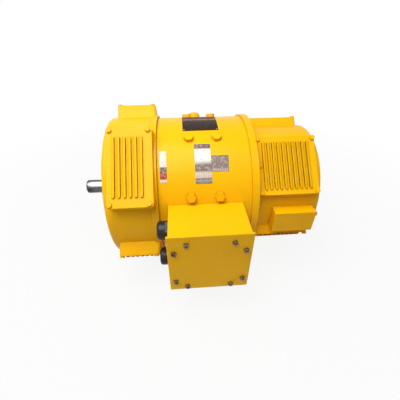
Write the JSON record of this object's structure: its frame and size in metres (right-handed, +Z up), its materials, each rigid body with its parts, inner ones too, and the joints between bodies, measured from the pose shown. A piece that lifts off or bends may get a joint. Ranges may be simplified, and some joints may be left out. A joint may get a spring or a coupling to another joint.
{
  "type": "dc motor",
  "caption": "Foot-mounted direct-current motor with louvred end brackets, side terminal box, cable glands, bare shaft end, and a wound armature with brush gear inside.",
  "frame": {"origin": "middle of the foot bolt pattern, on the base plane", "axes": "+X along the shaft away from the shaft extension, +Z up, -Y towards the terminal box"},
  "size_m": [0.747, 0.5914, 0.4964],
  "materials": {
    "yellow_paint": "gloss cab-yellow enamel",
    "bright_steel": "ground and oiled",
    "zinc_steel": "dull zinc plate",
    "laminations": "varnished sheet stack",
    "bearing_steel": "polished",
    "copper": "turned copper",
    "brass": "machined",
    "coil_tape": "varnished glass tape",
    "carbon": "dull carbon",
    "cast_aluminium": "as cast",
    "black_nylon": "moulded nylon",
    "board_laminate": "phenolic laminate",
    "primer": "machined"
  },
  "bodies": {
    "stator": {"yoke": "yellow_paint", "feet": "yellow_paint", "lifting_hole_plug": "yellow_paint", "main_pole_cores": "laminations", "main_field_coils": "coil_tape", "interpole_cores": "laminations", "interpole_coils": "coil_tape", "pole_bolts": "yellow_paint", "drive_end_bracket": "yellow_paint", "commutator_end_bracket": "yellow_paint", "bracket_bolts": "yellow_paint", "cover_screws": "yellow_paint", "drive_bearing_outer_ring": "bearing_steel", "commutator_bearing_outer_ring": "bearing_steel", "drive_bearing_outer_cap": "yellow_paint", "drive_bearing_inner_cap": "primer", "commutator_bearing_outer_cap": "yellow_paint", "commutator_bearing_inner_cap": "primer", "bearing_cap_screws": "yellow_paint", "terminal_box": "yellow_paint", "terminal_box_lid": "yellow_paint", "lid_screws": "zinc_steel", "terminal_board": "board_laminate", "terminal_studs": "brass", "gland_bodies": "black_nylon", "gland_dome_nuts": "black_nylon", "gland_locknuts": "black_nylon", "small_terminal_box": "yellow_paint", "small_terminal_box_lid": "yellow_paint", "small_box_plug": "yellow_paint", "drive_cover_upper_front": "yellow_paint", "drive_cover_upper_rear": "yellow_paint", "drive_cover_lower_rear": "yellow_paint", "drive_cover_lower_front": "yellow_paint", "commutator_cover_upper_front": "yellow_paint", "commutator_cover_upper_rear": "yellow_paint", "commutator_cover_lower_rear": "yellow_paint", "commutator_cover_lower_front": "yellow_paint"},
    "rotor": {"shaft": "bright_steel", "armature_core": "laminations", "armature_winding": "coil_tape", "commutator": "copper", "fan": "cast_aluminium", "drive_bearing_inner_ring": "bearing_steel", "commutator_bearing_inner_ring": "bearing_steel"},
    "roller_set": {"drive_bearing_rollers": "bearing_steel", "drive_bearing_cage": "brass"},
    "ball_set": {"commutator_bearing_balls": "bearing_steel", "commutator_bearing_cage": "brass"},
    "rocker": {"brush_rocker": "primer", "brush_holders": "brass"},
    "brush_1": {"brush_1": "carbon"},
    "finger_1": {"brush_finger_1": "zinc_steel"},
    "brush_2": {"brush_2": "carbon"},
    "finger_2": {"brush_finger_2": "zinc_steel"},
    "brush_3": {"brush_3": "carbon"},
    "finger_3": {"brush_finger_3": "zinc_steel"},
    "brush_4": {"brush_4": "carbon"},
    "finger_4": {"brush_finger_4": "zinc_steel"}
  },
  "joints": [
    {"name": "rotor_spin", "type": "hinge", "parent": "stator", "child": "rotor", "pos_m": [0, 0, 0.25], "axis": [1, 0, 0], "continuous": true},
    {"name": "roller_orbit", "type": "hinge", "parent": "stator", "child": "roller_set", "pos_m": [0, 0, 0.25], "axis": [1, 0, 0], "continuous": true},
    {"name": "ball_orbit", "type": "hinge", "parent": "stator", "child": "ball_set", "pos_m": [0, 0, 0.25], "axis": [1, 0, 0], "continuous": true},
    {"name": "rocker_turn", "type": "hinge", "parent": "stator", "child": "rocker", "pos_m": [0, 0, 0.25], "axis": [1, 0, 0], "range_deg": [-8, 8]},
    {"name": "brush_slide_1", "type": "slide", "parent": "rocker", "child": "brush_1", "axis": [0, -0.9239, 0.3827], "range_m": [0, 0.01]},
    {"name": "finger_turn_1", "type": "hinge", "parent": "rocker", "child": "finger_1", "pos_m": [0.182, -0.11332, 0.32292], "axis": [-1, 0, 0], "range_deg": [0, 25]},
    {"name": "brush_slide_2", "type": "slide", "parent": "rocker", "child": "brush_2", "axis": [0, 0.3827, 0.9239], "range_m": [0, 0.01]},
    {"name": "finger_turn_2", "type": "hinge", "parent": "rocker", "child": "finger_2", "pos_m": [0.182, 0.07292, 0.36332], "axis": [-1, 0, 0], "range_deg": [0, 25]},
    {"name": "brush_slide_3", "type": "slide", "parent": "rocker", "child": "brush_3", "axis": [0, 0.9239, -0.3827], "range_m": [0, 0.01]},
    {"name": "finger_turn_3", "type": "hinge", "parent": "rocker", "child": "finger_3", "pos_m": [0.182, 0.11332, 0.17708], "axis": [-1, 0, 0], "range_deg": [0, 25]},
    {"name": "brush_slide_4", "type": "slide", "parent": "rocker", "child": "brush_4", "axis": [0, -0.3827, -0.9239], "range_m": [0, 0.01]},
    {"name": "finger_turn_4", "type": "hinge", "parent": "rocker", "child": "finger_4", "pos_m": [0.182, -0.07292, 0.13668], "axis": [-1, 0, 0], "range_deg": [0, 25]}
  ],
  "couplings": [
    {"joint": "roller_orbit", "follows": "rotor_spin", "ratio": 0.4069},
    {"joint": "ball_orbit", "follows": "rotor_spin", "ratio": 0.38},
    {"joint": "finger_turn_1", "follows": "brush_slide_1", "rad_per_m": 42},
    {"joint": "finger_turn_2", "follows": "brush_slide_2", "rad_per_m": 42},
    {"joint": "finger_turn_3", "follows": "brush_slide_3", "rad_per_m": 42},
    {"joint": "finger_turn_4", "follows": "brush_slide_4", "rad_per_m": 42}
  ]
}
